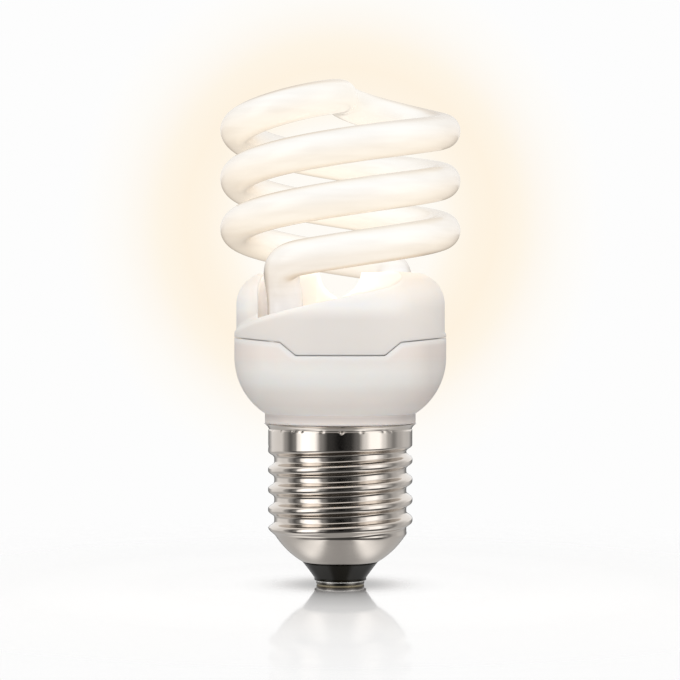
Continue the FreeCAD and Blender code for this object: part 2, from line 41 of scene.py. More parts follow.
DEGREE = radians(1)

# Sockets of a colour mix node: the factor and the two colours, and the mixed colour
MIX_INPUTS = (0, 6, 7)
MIX_OUTPUT = 2


# Small helpers for shader trees
class Tree:
    def __init__(self, tree):
        self.tree = tree

    def add(self, kind, settings=None, **inputs):
        made = self.tree.nodes.new(kind)
        for name, value in (settings or {}).items():
            setattr(made, name, value)
        for name, value in inputs.items():
            self.put(made.inputs[name.replace("_", " ")], value)
        return made

    def put(self, socket, value):
        if isinstance(value, bpy.types.NodeSocket):
            self.tree.links.new(value, socket)
        else:
            socket.default_value = value

    def math(self, operation, first, second=0.0):
        made = self.add("ShaderNodeMath", {"operation": operation})
        self.put(made.inputs[0], first)
        self.put(made.inputs[1], second)
        return made.outputs["Value"]

    def both(self, first, second):
        return self.math("MULTIPLY", first, second)

    def either(self, first, second):
        return self.math("MAXIMUM", first, second)

    def ramp(self, factor, stops, mode="LINEAR"):
        made = self.add("ShaderNodeValToRGB", Fac=factor)
        made.color_ramp.interpolation = mode
        elements = made.color_ramp.elements
        while len(elements) < len(stops):
            elements.new(0.5)
        for element, (place, color) in zip(elements, stops):
            element.position = place
            element.color = (*color, 1.0)
        return made.outputs["Color"]

    def ramp_over(self, value, low, high, stops, unit=1.0, mode="LINEAR"):
        # ramp with its stops between low and high, in the value's own unit
        part = self.math("DIVIDE", self.math("SUBTRACT", value, low * unit), (high - low) * unit)
        return self.ramp(part, [((place - low) / (high - low), color) for place, color in stops], mode)

    def fade(self, value, ends, unit=1.0, kind="LINEAR"):
        # change between two places, in the value's own unit, from the one weight to the other
        start, end, first, last = ends
        made = self.add("ShaderNodeMapRange", {"interpolation_type": kind}, Value=value,
                        From_Min=start * unit, From_Max=end * unit, To_Min=first, To_Max=last)
        return made.outputs["Result"]

    def mix(self, factor, first, second, kind="MIX"):
        made = self.add("ShaderNodeMix", {"data_type": "RGBA", "blend_type": kind})
        for index, value in zip(MIX_INPUTS, (factor, first, second)):
            self.put(made.inputs[index], value)
        return made.outputs[MIX_OUTPUT]

    def times(self, first, second, factor=1.0):
        return self.mix(factor, first, second, "MULTIPLY")

    def place(self):
        return self.add("ShaderNodeTexCoord").outputs["Object"]

    def normal(self):
        return self.add("ShaderNodeNewGeometry").outputs["Normal"]

    def axes(self, vector):
        return self.add("ShaderNodeSeparateXYZ", Vector=vector).outputs

    def length(self, vector):
        made = self.add("ShaderNodeVectorMath", {"operation": "LENGTH"})
        self.put(made.inputs[0], vector)
        return made.outputs["Value"]

    def length_of(self, x, y):
        return self.length(self.add("ShaderNodeCombineXYZ", X=x, Y=y).outputs["Vector"])

    def noise(self, scale, detail=3.0, stretch=(1.0, 1.0, 1.0)):
        mapped = self.add("ShaderNodeMapping", Vector=self.place(), Scale=stretch).outputs["Vector"]
        return self.add("ShaderNodeTexNoise", Vector=mapped, Scale=scale, Detail=detail).outputs["Fac"]

    def bump(self, height, distance, strength, normal=None):
        made = self.add("ShaderNodeBump", Height=height, Distance=distance, Strength=strength)
        if normal is not None:
            self.put(made.inputs["Normal"], normal)
        return made.outputs["Normal"]


def grey(value):
    return (value, value, value)


def tones(color, spread):
    low = tuple(max(0.0, channel * (1 - spread)) for channel in color)
    high = tuple(min(1.0, channel * (1 + spread)) for channel in color)
    return low, high


def shading(made):
    return Tree(made.node_tree), made.node_tree.nodes["Principled BSDF"]


def material(name):
    made = bpy.data.materials.new(name)
    made.use_nodes = True
    return made, *shading(made)


def settle(shader, values):
    for socket, value in values.items():
        shader.inputs[socket].default_value = value


# Mottle and grain: the parts of the noise over which colour and gloss change, and how fine the grain is
MOTTLE_ENDS = (0.3, 0.7)
GRAIN_ENDS = (0.25, 0.75)
GRAIN_DETAIL = 4.0
GRAIN_STRENGTH = 0.5


def surface(name, color, rough, metallic=0.0, spread=0.04, patch=300.0, grain=2500.0,
            depth=0.00001, stretch=(1.0, 1.0, 1.0), edge=0.0, sockets=None):
    # mottled colour, uneven gloss and a fine grain, with softened edges where asked
    made, tree, shader = material(name)
    mottle = list(zip(MOTTLE_ENDS, tones(color, spread)))
    tree.put(shader.inputs["Base Color"], tree.ramp(tree.noise(patch), mottle))
    fine = tree.noise(grain, GRAIN_DETAIL, stretch)
    tree.put(shader.inputs["Roughness"], tree.fade(fine, (*GRAIN_ENDS, *rough)))
    normal = tree.add("ShaderNodeBevel", Radius=edge).outputs["Normal"] if edge else None
    tree.put(shader.inputs["Normal"], tree.bump(fine, depth, GRAIN_STRENGTH, normal))
    settle(shader, {"Metallic": metallic, **(sockets or {})})
    return made


def paint(piece, made):
    piece.data.materials.clear()
    piece.data.materials.append(made)


def grid_piece(name, rows, node, caps=False):
    # closed rings of points joined by quads, with the end rings filled or else joined to each other
    count = len(rows[0])
    faces = []
    for row in range(len(rows) - 1 if caps else len(rows)):
        here = row * count
        after = (row + 1) % len(rows) * count
        for column in range(count):
            beside = (column + 1) % count
            faces.append((here + column, here + beside, after + beside, after + column))
    if caps:
        last = (len(rows) - 1) * count
        faces.append(tuple(range(count - 1, -1, -1)))
        faces.append(tuple(range(last, last + count)))
    mesh = bpy.data.meshes.new(name)
    mesh.from_pydata([tuple(point * MM) for ring in rows for point in ring], [], faces)
    mesh.polygons.foreach_set("use_smooth", [True] * len(mesh.polygons))
    piece = bpy.data.objects.new(name, mesh)
    scene.collection.objects.link(piece)
    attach(piece, "root")
    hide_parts(node)
    return piece


def smooth(t):
    t = np.clip(t, 0.0, 1.0)
    return t * t * (3 - 2 * t)


def polar(radius, angle, z):
    return np.array([radius * cos(angle * DEGREE), radius * sin(angle * DEGREE), z])


# Tube: the same centre line as the solid, in millimetres and degrees, with a finer skin
TUBE_R = 3.15
HELIX_R = 18.85
HELIX_PITCH = 18.2
HELIX_TOP = 83.1
HELIX_START = 180.0
HELIX_TURN = 470.0
BRIDGE_Z = 89.2
BRIDGE_SWEEP = 95.0
BEND_REACH = 6.5
LEG_REACH = 6.0
LEG_R, LEG_ANGLE = 14.44, 47.2
LEG_TOP = polar(LEG_R, LEG_ANGLE, 50.5)
LEG_END = polar(LEG_R, LEG_ANGLE, 43.6)
SMALL_TURN = 0.01
HALF_TURN = np.array([-1, -1, 1])
BRIDGE_STEPS, HELIX_STEPS, BEND_STEPS, LEG_STEPS = 44, 170, 30, 6
TUBE_SIDES = 40


def bridge_point(u):
    v = 1 - u
    slope = HELIX_PITCH * BRIDGE_SWEEP / 360
    rise = BRIDGE_Z - HELIX_TOP
    z = HELIX_TOP + slope * (v ** 3 - 2 * v ** 2 + v) + rise * (3 * v ** 2 - 2 * v ** 3)
    return polar(HELIX_R * sin(u * pi / 2), HELIX_START + v * BRIDGE_SWEEP, z)


def helix_point(turned):
    return polar(HELIX_R, HELIX_START - turned, HELIX_TOP - HELIX_PITCH * turned / 360)


helix_end = helix_point(HELIX_TURN)
helix_heading = helix_point(HELIX_TURN + SMALL_TURN) - helix_end
bend_pull = helix_end + helix_heading / np.linalg.norm(helix_heading) * BEND_REACH
leg_pull = LEG_TOP + np.array([0, 0, LEG_REACH])


def bend_point(t):
    s = 1 - t
    return helix_end * s ** 3 + bend_pull * 3 * s * s * t + leg_pull * 3 * s * t * t + LEG_TOP * t ** 3


def tube_rows():
    arm = [bridge_point(u) for u in np.linspace(0, 1, BRIDGE_STEPS, endpoint=False)]
    arm += [helix_point(t) for t in np.linspace(0, HELIX_TURN, HELIX_STEPS, endpoint=False)]
    arm += [bend_point(t) for t in np.linspace(0, 1, BEND_STEPS, endpoint=False)]
    arm += [LEG_TOP + (LEG_END - LEG_TOP) * t for t in np.linspace(0, 1, LEG_STEPS)]
    other = [point * HALF_TURN for point in reversed(arm[1:])]
    path = np.array(other + arm)
    headings = np.gradient(path, axis=0)
    headings /= np.linalg.norm(headings, axis=1)[:, None]
    turns = [2 * pi * step / TUBE_SIDES for step in range(TUBE_SIDES)]
    side = np.array([1.0, 0.0, 0.0])
    rows = []
    for point, heading in zip(path, headings):
        side = side - heading * side.dot(heading)
        side /= np.linalg.norm(side)
        across = np.cross(heading, side)
        rows.append([point + (side * cos(turn) + across * sin(turn)) * TUBE_R for turn in turns])
    return rows


# Lit tube: white coating that glows warm, with painted shade: cream on its underside, beige where it turns
# away and darker, cooler low on the legs, and faint painted reflection streaks
GLOW_AND_EDGE_SHADE = [(0.0, (0.935, 0.91, 0.873)), (0.32, (0.915, 0.885, 0.838)), (0.50, (0.87, 0.825, 0.763)),
        (0.66, (0.795, 0.74, 0.67)), (0.84, (0.69, 0.63, 0.56)), (1.0, (0.50, 0.44, 0.37))]
UNDERSIDE_SHADE = [(-1.0, (0.97, 0.90, 0.79)), (-0.4, (0.985, 0.925, 0.84)), (0.1, (0.98, 0.96, 0.93)),
         (0.5, (0.97, 0.985, 1.0))]
LEG_SHADE_LOW, LEG_SHADE_HIGH = 40, 65
LEG_SHADE = [(47.0, (0.78, 0.775, 0.80)), (54.5, (0.90, 0.91, 0.96)), (61.0, grey(1.0))]
REFLECTION_STREAK_NOISE = (800.0, 2.0, (0.1, 0.1, 1.0))
REFLECTION_STREAKS = [(0.32, (0.955, 0.945, 0.935)), (0.6, grey(1.0))]
OUTLINE_SHADE = [(0.42, grey(1.0)), (0.62, (0.86, 0.80, 0.72)), (0.8, (0.66, 0.58, 0.48))]
LEG_LINE_SHADE = [(0.45, grey(1.0)), (0.62, (0.78, 0.74, 0.68)), (0.8, (0.42, 0.38, 0.33))]
BRIDGE_LINE_SHADE = [(0.34, grey(1.0)), (0.5, (0.94, 0.90, 0.84)), (0.68, (0.82, 0.75, 0.66))]
HOT_BRIDGE = (0.90, 0.85, 0.765, 1.0)
COATING_NOISE = (160.0, 2.0)
COATING = list(zip(MOTTLE_ENDS, (grey(0.08), grey(0.095))))
GLASS_GLOSS = {"Emission Strength": 1.0, "Roughness": 0.45, "Coat Weight": 0.5, "Coat Roughness": 0.08}

# Fades on the tube, by place in millimetres or by the normal: the two ends and the weights there
FRONT_TURNS = (-14.0, -7.0, 1.0, 0.22)
LEFT_TURNS = (-10.0, 5.0, 1.0, 0.55)
TOP_TURN = (84.5, 86.5, 0.0, 1.0)
LOWEST_TURN = (60.0, 63.0, 1.0, 0.0)
UPPER_EDGE = (0.72, 0.90, 0.0, 0.9)
LOWER_EDGE = (-0.88, -0.68, 0.45, 0.0)
LOWEST_EDGE = (-0.88, -0.68, 1.0, 0.0)
LEG_SIDE = (0.55, 0.8, 0.0, 1.0)
LEG_HEIGHT = (56.5, 60.0, 1.0, 0.0)
BRIDGE_MIDDLE = (8.0, 17.0, 0.5, 0.0)
BRIDGE_HEIGHT = (78.0, 84.0, 0.0, 1.0)


def lit_glass():
    made, tree, shader = material("lit_glass")
    facing = tree.add("ShaderNodeLayerWeight", Blend=0.5).outputs["Facing"]
    x, y, z = tree.axes(tree.place())
    normal_x, _, normal_z = tree.axes(tree.normal())
    # painted shade: beige where the tube turns away, cream on its underside
    glow = tree.times(tree.ramp(facing, GLOW_AND_EDGE_SHADE), tree.ramp_over(normal_z, -1, 1, UNDERSIDE_SHADE))
    # painted shade: darker and cooler low on the legs
    glow = tree.times(glow, tree.ramp_over(z, LEG_SHADE_LOW, LEG_SHADE_HIGH, LEG_SHADE, MM))
    # painted reflection: faint streaks along the glass
    glow = tree.times(glow, tree.ramp(tree.noise(*REFLECTION_STREAK_NOISE), REFLECTION_STREAKS))

    # painted dark outlines along the strands' edges; turns at the back and at the right drown in the light of
    # the coil, so their edges show less
    in_front = tree.fade(y, FRONT_TURNS, MM)
    to_left = tree.fade(x, LEFT_TURNS, MM)
    at_top = tree.fade(z, TOP_TURN, MM)
    on_top = tree.fade(normal_z, UPPER_EDGE)
    upper = tree.both(on_top, tree.either(in_front, at_top))
    lower = tree.both(tree.fade(normal_z, LOWER_EDGE), in_front)
    lowest = tree.both(tree.fade(normal_z, LOWEST_EDGE), tree.fade(z, LOWEST_TURN, MM))
    lined = tree.either(tree.both(tree.either(upper, lower), to_left), tree.both(lowest, in_front))
    glow = tree.times(glow, tree.ramp(facing, OUTLINE_SHADE), lined)

    # painted dark line along the side of each leg that stands against the cover's end wall
    shaded_side = tree.both(normal_x, tree.math("SIGN", y))
    leg_edge = tree.both(tree.fade(shaded_side, LEG_SIDE), tree.fade(z, LEG_HEIGHT, MM))
    glow = tree.times(glow, tree.ramp(facing, LEG_LINE_SHADE), leg_edge)

    # hottest in the middle of the bridge, with a painted soft shade line along its upper edge
    in_bridge = tree.both(tree.fade(tree.length_of(x, y), BRIDGE_MIDDLE, MM), tree.fade(z, BRIDGE_HEIGHT, MM))
    glow = tree.mix(in_bridge, glow, HOT_BRIDGE)
    bridge_edge = tree.both(tree.both(on_top, at_top), to_left)
    glow = tree.times(glow, tree.ramp(facing, BRIDGE_LINE_SHADE), bridge_edge)
    tree.put(shader.inputs["Emission Color"], glow)
    tree.put(shader.inputs["Base Color"], tree.ramp(tree.noise(*COATING_NOISE), COATING))
    settle(shader, GLASS_GLOSS)
    return made


tube = grid_piece("tube_glass", tube_rows(), "spiral_tube", caps=True)
paint(tube, lit_glass())

# Screw shell: the same rolled sheet as the solid, in millimetres, with its crease and staking marks
CREST_R, ROOT_R, PITCH, CREST_Z = 13.225, 12.1, 3.629, 15.53
THREAD_LOW, THREAD_FADE, SHARPNESS = 8.7, 1.8, 1.3
FLOOR_Z, DOME_TOP, HOLE_R, DOME_BULGE, SHEET = 4.25, 9.3, 7.03, 0.44, 0.35
COLLAR_R, COLLAR_Z, COLLAR_BLEND = 13.2, 25.6, 1.2
RIM_R, RIM_Z, RIM_FLARE = 13.95, 29.45, 0.85
CREASE_Z, CREASE_DEPTH, CREASE_WIDTH = 28.55, 0.10, 0.16
PUNCH_DEPTH, PUNCH_DROP, PUNCH_SPREAD = 0.12, 0.12, 0.05
NICK_DEPTH, NICK_HALF, NICK_HEIGHT, NICK_FLANK = 0.24, 0.55, 0.85, 0.24
NICK_OVER, NICK_FADE = 0.1, 0.15
SHELL_COLUMNS = 320
FINE_Z, COARSE_ROWS, FINE_ROWS, INSIDE_ROWS = 25.0, 106, 50, 70

# Places of the marks round the collar, in degrees from the front
PUNCH_MARKS = (-68, -53, -40, -32, -14, 17, 36, 43, 74, 110, 128, 150, 171, 196, 222)
NICKS = (1.4, 121.4, 241.4)

chord = (ROOT_R - HOLE_R, DOME_TOP - FLOOR_Z)
chord_length = sqrt(chord[0] ** 2 + chord[1] ** 2)
dome_r = (chord_length ** 2 / 4 + DOME_BULGE ** 2) / (2 * DOME_BULGE)
dome_back = dome_r - DOME_BULGE
dome_centre = ((HOLE_R + ROOT_R) / 2 - dome_back * chord[1] / chord_length,
               (FLOOR_Z + DOME_TOP) / 2 + dome_back * chord[0] / chord_length)
around_shell = np.arange(SHELL_COLUMNS) * 2 * pi / SHELL_COLUMNS


def shell_radii(z):
    plain = dome_centre[0] + sqrt(dome_r ** 2 - (z - dome_centre[1]) ** 2) if z < DOME_TOP else ROOT_R
    phase = 2 * pi * (z - CREST_Z) / PITCH - around_shell
    ridge = smooth((1 + np.cos(phase)) / 2) ** SHARPNESS * smooth((z - THREAD_LOW) / THREAD_FADE)
    threaded = plain + (CREST_R - ROOT_R) * ridge
    collar = smooth((z - COLLAR_Z + COLLAR_BLEND) / COLLAR_BLEND)
    flare = max(0.0, (z - RIM_Z + RIM_FLARE) / RIM_FLARE) ** 2
    return threaded + (COLLAR_R - threaded) * collar + (RIM_R - COLLAR_R) * flare


def along_collar(place):
    # arc length from a place to each column of the shell
    turned = (np.degrees(around_shell + pi / 2) - place + 180) % 360 - 180
    return np.radians(turned) * COLLAR_R


def staking(z):
    # depth of the crease under the rim, the round punch marks along it and the V nicks below it
    depth = np.full(SHELL_COLUMNS, CREASE_DEPTH * exp(-((z - CREASE_Z) / CREASE_WIDTH) ** 2))
    for place in PUNCH_MARKS:
        spot = along_collar(place) ** 2 + (z - CREASE_Z + PUNCH_DROP) ** 2
        depth += PUNCH_DEPTH * np.exp(-spot / PUNCH_SPREAD)
    for place in NICKS:
        half = max(0.0, NICK_HALF * (z - CREASE_Z + NICK_HEIGHT) / NICK_HEIGHT)
        flank = smooth((half - np.abs(along_collar(place))) / NICK_FLANK)
        depth += NICK_DEPTH * flank * smooth((CREASE_Z + NICK_OVER - z) / NICK_FADE)
    return depth


def shell_ring(radii, z):
    heights = np.full(SHELL_COLUMNS, z)
    return np.column_stack([radii * np.cos(around_shell), radii * np.sin(around_shell), heights])


def shell_rows():
    coarse = np.linspace(FLOOR_Z, FINE_Z, COARSE_ROWS)
    fine = np.linspace(FINE_Z, RIM_Z, FINE_ROWS)[1:]
    outside = [shell_ring(shell_radii(z) - staking(z), z) for z in np.concatenate([coarse, fine])]
    inside = [shell_ring(shell_radii(z) - SHEET, z) for z in np.linspace(RIM_Z, FLOOR_Z, INSIDE_ROWS)]
    return outside + inside


# Roughness that the dome has over the thread, by the height in millimetres
SATIN_DOME = (8.0, 9.4, 0.13, 0.0)


def nickel():
    made = surface("nickel", (0.74, 0.68, 0.62), (0.05, 0.09), metallic=1.0, spread=0.03, patch=220.0,
                   grain=1800.0, depth=0.000003, stretch=(1.0, 1.0, 0.15))
    tree, shader = shading(made)
    rough = shader.inputs["Roughness"]
    satin = tree.fade(tree.axes(tree.place())["Z"], SATIN_DOME, MM)
    tree.put(rough, tree.math("ADD", rough.links[0].from_socket, satin))
    return made


shell = grid_piece("rolled_shell", shell_rows(), "screw_shell")
plate = nickel()
paint(nodes["screw_shell"], plate)
paint(shell, plate)

# White moulded housing: the bowl a shade lighter than the cover, with a painted highlight on the upper edges
COVER_WHITE = (0.81, 0.772, 0.736)
BOWL_WHITE = (0.966, 0.91, 0.862)
EDGE_HIGHLIGHT = (1.0, 0.98, 0.95, 1.0)
EDGE_ROUND = 0.0004
HIGHLIGHT_SPREAD = 0.0015
HIGHLIGHT_FADE = (0.0, 0.25, 0.0, 1.0)
PLASTIC = {"Specular IOR Level": 0.42, "Subsurface Weight": 0.5, "Subsurface Radius": (1.0, 0.85, 0.7),
           "Subsurface Scale": 0.0015}

# Painted light of the tube on the cover, by place in millimetres
LIT_LOW, LIT_HIGH = 48, 58
TUBE_LIGHT_ON_COVER = [(48.2, grey(1.0)), (48.96, (1.05, 1.05, 1.06)), (49.65, (1.12, 1.125, 1.13)),
             (50.35, (1.19, 1.21, 1.22)), (51.0, (1.20, 1.22, 1.25)), (52.4, (1.19, 1.18, 1.19)),
             (53.6, (1.16, 1.15, 1.15)), (55.2, (1.10, 1.09, 1.08))]
LIT_FRONT_END = -25
LIT_FRONT = [(-19.0, grey(1.0)), (-17.0, grey(0.65)), (-14.5, grey(0.15)), (-11.0, grey(0.0))]
LIT_LEFT = (-14.0, -16.5, 0.0, 1.0)
ROUND_LEGS = (16.25, 17.5, 1.0, 0.0)
LEG_WALL_LIGHT = (0.90, 0.855, 0.82, 1.0)

# Painted shade on the bowl, by its normal and by the height of its corner in millimetres
BOWL_LEAN_SHADE = [(-0.66, (1.02, 0.955, 0.94)), (-0.5, (1.0, 0.957, 0.943)), (-0.36, (1.035, 1.03, 1.025)),
             (-0.2, grey(1.01)), (-0.08, grey(0.93)), (0.04, (0.92, 0.88, 0.87))]
BOWL_SIDE_SHADE = [(-0.94, grey(0.92)), (-0.78, grey(0.99)), (-0.71, grey(1.03)), (0.0, grey(1.01)),
              (0.4, grey(1.0)), (0.6, grey(0.98)), (0.72, grey(0.93)), (0.82, grey(0.86))]
CORNER_LOW, CORNER_HIGH = 29.5, 34
NECK_CORNER_SHADE = [(29.91, (1.05, 1.04, 1.03)), (30.27, grey(0.94)), (30.64, grey(0.87)), (31.0, grey(0.82)),
               (31.18, grey(0.92)), (31.41, grey(1.0)), (31.68, (1.08, 1.06, 1.05)), (32.41, grey(1.04)),
               (33.14, grey(1.0))]


def cover_painted_light(tree, plain):
    # painted light of the tube on the upper front, on the left horn and on the walls round the legs
    x, y, z = tree.axes(tree.place())
    in_front = tree.ramp_over(y, LIT_FRONT_END, 0, LIT_FRONT, MM)
    reached = tree.either(in_front, tree.fade(x, LIT_LEFT, MM))
    plain = tree.times(plain, tree.ramp_over(z, LIT_LOW, LIT_HIGH, TUBE_LIGHT_ON_COVER, MM), reached)
    return tree.mix(tree.fade(tree.length_of(x, y), ROUND_LEGS, MM), plain, LEG_WALL_LIGHT)


def bowl_painted_shade(tree, plain):
    # painted shade by the lean of the wall, by its side and in the corner over the neck ring
    normal_x, _, normal_z = tree.axes(tree.normal())
    z = tree.axes(tree.place())["Z"]
    plain = tree.times(plain, tree.ramp_over(normal_z, -1, 1, BOWL_LEAN_SHADE))
    plain = tree.times(plain, tree.ramp_over(normal_x, -1, 1, BOWL_SIDE_SHADE))
    return tree.times(plain, tree.ramp_over(z, CORNER_LOW, CORNER_HIGH, NECK_CORNER_SHADE, MM))


def white_plastic(name, color, painted_light):
    made = surface("white_" + name, color, (0.40, 0.50), spread=0.012, patch=90.0, grain=5200.0,
                   depth=0.000004, edge=EDGE_ROUND, sockets=PLASTIC)
    tree, shader = shading(made)
    base = shader.inputs["Base Color"]
    # painted highlight on edges that turn up, where light from above catches them
    rounded = tree.add("ShaderNodeBevel", Radius=HIGHLIGHT_SPREAD).outputs["Normal"]
    turned_up = tree.math("SUBTRACT", tree.axes(rounded)["Z"], tree.axes(tree.normal())["Z"])
    lit_and_shaded = painted_light(tree, base.links[0].from_socket)
    tree.put(base, tree.mix(tree.fade(turned_up, HIGHLIGHT_FADE), lit_and_shaded, EDGE_HIGHLIGHT))
    return made


paint(nodes["upper_cover"], white_plastic("upper_cover", COVER_WHITE, cover_painted_light))
paint(nodes["lower_housing"], white_plastic("lower_housing", BOWL_WHITE, bowl_painted_shade))

# Bottom contact, by the height in millimetres: goldish foot, a painted dark band of reflected shade and a
# painted highlight on the upper edge
CONTACT_TOP = 1
CONTACT_BANDS = [(0.08, (0.5, 0.42, 0.26)), (0.2, (0.10, 0.09, 0.075)), (0.55, (0.13, 0.12, 0.11)),
                (0.7, (0.85, 0.83, 0.79))]
CONTACT_METALLIC = (0.6, 0.7, 1.0, 0.2)


def contact_metal():
    made = surface("contact_metal", (0.72, 0.70, 0.66), (0.18, 0.3), metallic=1.0, patch=500.0,
                   grain=3000.0, edge=0.0002)
    tree, shader = shading(made)
    z = tree.axes(tree.place())["Z"]
    # painted dark band and painted highlight, by height
    tree.put(shader.inputs["Base Color"], tree.ramp_over(z, 0, CONTACT_TOP, CONTACT_BANDS, MM))
    tree.put(shader.inputs["Metallic"], tree.fade(z, CONTACT_METALLIC, MM))
    return made


# Materials of the other pieces, each with the nodes that have it
OTHERS = (
    (("centre_contact",), contact_metal()),
    (("contact_insulator",),
     surface("black_glass", (0.010, 0.008, 0.004), (0.06, 0.12), spread=0.2, patch=400.0, grain=1500.0,
             depth=0.000006, edge=0.0003, sockets={"Specular IOR Level": 0.2})),
    (("contact_solder",),
     surface("solder", (0.55, 0.55, 0.55), (0.3, 0.5), metallic=1.0, spread=0.1, patch=900.0, grain=2600.0,
             depth=0.00003)),
    (("tube_cement",), surface("cement", (0.76, 0.73, 0.66), (0.75, 0.95), spread=0.08, depth=0.00005)),
    (("tube_leads", "wrap_pins", "neutral_wire"),
     surface("tinned_wire", (0.72, 0.72, 0.71), (0.2, 0.35), metallic=1.0)),
    (("live_wire",), surface("wire_sleeve", (0.42, 0.03, 0.025), (0.35, 0.5))),
    (("circuit_board",), surface("board", (0.50, 0.34, 0.15), (0.4, 0.6), spread=0.1, grain=900.0)),
    (("electrolytic_capacitor",),
     surface("capacitor_sleeve", (0.03, 0.035, 0.06), (0.18, 0.28), spread=0.1)),
    (("choke_core", "ring_core", "filter_choke"),
     surface("ferrite", (0.07, 0.07, 0.075), (0.55, 0.75), spread=0.15, depth=0.00002)),
    (("choke_bobbin",), surface("bobbin_plastic", (0.06, 0.06, 0.06), (0.4, 0.55))),
    (("choke_winding", "ring_windings"),
     surface("enamelled_copper", (0.62, 0.24, 0.08), (0.2, 0.4), metallic=0.8, spread=0.15, grain=6000.0,
             depth=0.00006, stretch=(0.1, 0.1, 1.0))),
    (("transistors", "rectifier_diodes"),
     surface("black_resin", (0.03, 0.03, 0.03), (0.45, 0.6), spread=0.1, depth=0.00002)),
    (("resonant_capacitor", "coupling_capacitor"),
     surface("film_resin", (0.42, 0.13, 0.04), (0.15, 0.3), spread=0.1)),
    (("resistors", "fuse_resistor"), surface("resistor_body", (0.62, 0.5, 0.33), (0.35, 0.5), spread=0.06)),
    (("trigger_diode",), surface("blue_glass", (0.1, 0.22, 0.48), (0.1, 0.2), spread=0.08)),
)
for names, made in OTHERS:
    for name in names:
        paint(nodes[name], made)

# Pale floor: painted shadow round the contact and a soft mirror near it, by the distance in millimetres
FLOOR_R = 6.0
FLOOR_SIDES = 96
FLOOR_DROP = 0.00002
FLOOR_PATCH = 3.0
FLOOR_TONES = list(zip(MOTTLE_ENDS, (grey(0.88), grey(0.90))))
SHADE = [(5.2, 0.06), (6.0, 0.10), (6.7, 0.16), (7.8, 0.26), (9.4, 0.44), (11.2, 0.64), (13.0, 0.80),
         (15.5, 0.93), (20.0, 1.0)]
SHADE_REACH = 20
SHADE_WARMTH = (1.0, 1.06, 1.1)
MIRROR_REACH = 100
SHEEN = [(12, grey(0.72)), (20, grey(0.48)), (32, grey(0.13)), (60, grey(0.02))]
POLISH = [(8, grey(0.45)), (16, grey(0.26)), (24, grey(0.07)), (30, grey(0.0))]
FLOOR_CLEARS = (20, 140, 0.0, 1.0)


def pale_floor():
    made, tree, shader = material("pale_floor")
    distance = tree.length(tree.place())
    # painted contact shadow, warm toned
    stops = [(reach, tuple(light ** warmth for warmth in SHADE_WARMTH)) for reach, light in SHADE]
    shade = tree.ramp_over(distance, 0, SHADE_REACH, stops, MM)
    tree.put(shader.inputs["Base Color"], tree.times(tree.ramp(tree.noise(FLOOR_PATCH), FLOOR_TONES), shade))
    tree.put(shader.inputs["Specular IOR Level"], tree.ramp_over(distance, 0, MIRROR_REACH, SHEEN, MM))
    tree.put(shader.inputs["Metallic"], tree.ramp_over(distance, 0, MIRROR_REACH, POLISH, MM))
    # the painted shadow darkens the floor's glow too
    tree.put(shader.inputs["Emission Color"], shade)
    settle(shader, {"Emission Strength": 0.155, "Roughness": 0.06})

    # clear at a distance, where the pale room takes over
    faded = tree.add("ShaderNodeMixShader", Fac=tree.fade(distance, FLOOR_CLEARS, MM, "SMOOTHSTEP"))
    tree.put(faded.inputs[1], shader.outputs["BSDF"])
    tree.put(faded.inputs[2], tree.add("ShaderNodeBsdfTransparent").outputs["BSDF"])
    tree.put(made.node_tree.nodes["Material Output"].inputs["Surface"], faded.outputs["Shader"])
    return made


bpy.ops.mesh.primitive_circle_add(vertices=FLOOR_SIDES, radius=FLOOR_R, fill_type="NGON",
                                  location=(0, 0, -FLOOR_DROP))
floor = bpy.context.object
floor.name = "floor"
floor.visible_glossy = False
floor.visible_diffuse = False
paint(floor, pale_floor())

# Studio as the metal sees it, in degrees from the front: soft boxes at both sides of a dark gap
ROOM_LIGHT = 2.0
STUDIO = [(-180, 0.10), (-168, 0.12), (-152, 0.45), (-138, 0.85), (-108, 0.80), (-97, 0.35), (-86, 0.12),
          (-76, 0.25), (-70, 1.2), (-60, 1.8), (-42, 1.5), (-31, 0.28), (-18, 0.04), (0, 0.006), (16, 0.03),
          (28, 0.16), (40, 0.85), (50, 1.4), (64, 1.45), (74, 0.9), (84, 0.45), (94, 0.26), (108, 0.5),
          (124, 0.64), (140, 0.6), (155, 0.3), (170, 0.12), (180, 0.10)]
UNDER = [(0.0, grey(0.18)), (0.22, grey(0.20)), (0.40, grey(0.58)), (0.52, grey(0.5)), (0.75, grey(0.24))]
CEILING = (0.43, 0.42, 0.41, 1.0)
BACKDROP = (0.49, 0.49, 0.49, 1.0)

# Fades between its parts, by the direction: the two ends and the weights there
TO_CEILING = (0.4, 0.85, 0.0, 1.0)
TO_FLOOR = (-0.1, -0.35, 0.0, 1.0)
TO_UNDER = (-0.6, -0.88, 0.0, 1.0)
FLOOR_BEHIND = (-0.1, 0.24, 0.03, 0.26)
BACKDROP_FORWARD = (0.5, 0.75, 0.0, 1.0)
BACKDROP_UPWARD = (0.0, 0.03, 0.0, 1.0)

# Studio as matt surfaces see it, by the height of the direction, in front and behind
SOFT_FRONT = [(-0.8, grey(0.20)), (-0.4, grey(0.32)), (-0.16, grey(0.74)), (0.0, grey(0.74)),
              (0.2, grey(0.44)), (0.5, grey(0.26)), (1.0, grey(0.60))]
SOFT_BACK = [(-0.8, grey(0.2)), (-0.2, grey(0.10)), (0.0, grey(0.08)), (0.4, grey(0.20)), (1.0, grey(0.60))]
SOFT_TURN = (-0.2, 0.08, 0.0, 1.0)

